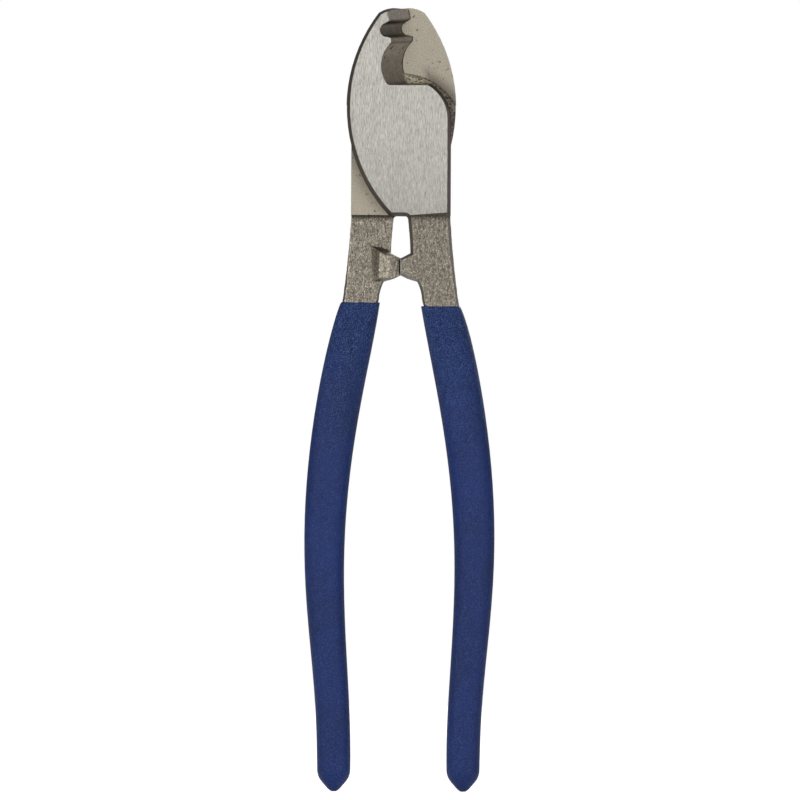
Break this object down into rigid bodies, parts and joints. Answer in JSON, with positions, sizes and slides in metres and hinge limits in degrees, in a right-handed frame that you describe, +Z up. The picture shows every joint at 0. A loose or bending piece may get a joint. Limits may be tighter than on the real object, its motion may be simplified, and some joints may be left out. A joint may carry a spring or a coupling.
{
  "type": "hand cable cutter",
  "caption": "Hand cable cutter: crossed forged halves with hooked shearing blades, a back-mounted pivot nut, a closed stop and dipped vinyl grips.",
  "frame": {"origin": "top of the gap between the shanks, under the pivot, on the plane where the halves meet", "axes": "+Z up the tool to the blade tips, -Y out of the ground front face, +X towards the front half's handle"},
  "size_m": [0.0606, 0.0228, 0.2499],
  "materials": {
    "jaw_steel": "ground satin faces, as-forged pebbled shanks",
    "bolt_steel": "bright zinc",
    "spring_steel": "blackened",
    "nylon": "natural nylon",
    "grip_vinyl": "satin dipped vinyl with a fine pebble"
  },
  "bodies": {
    "front_half": {"front_jaw": "jaw_steel", "pivot_stud": "bolt_steel", "flat_washer": "bolt_steel", "disc_spring": "spring_steel", "lock_nut": "bolt_steel", "nut_insert": "nylon", "right_grip": "grip_vinyl"},
    "rear_half": {"rear_jaw": "jaw_steel", "left_grip": "grip_vinyl"}
  },
  "joints": [
    {"name": "pivot", "type": "hinge", "parent": "front_half", "child": "rear_half", "pos_m": [0, 0, 0.0257], "axis": [0, 1, 0], "range_deg": [0, 100]}
  ]
}
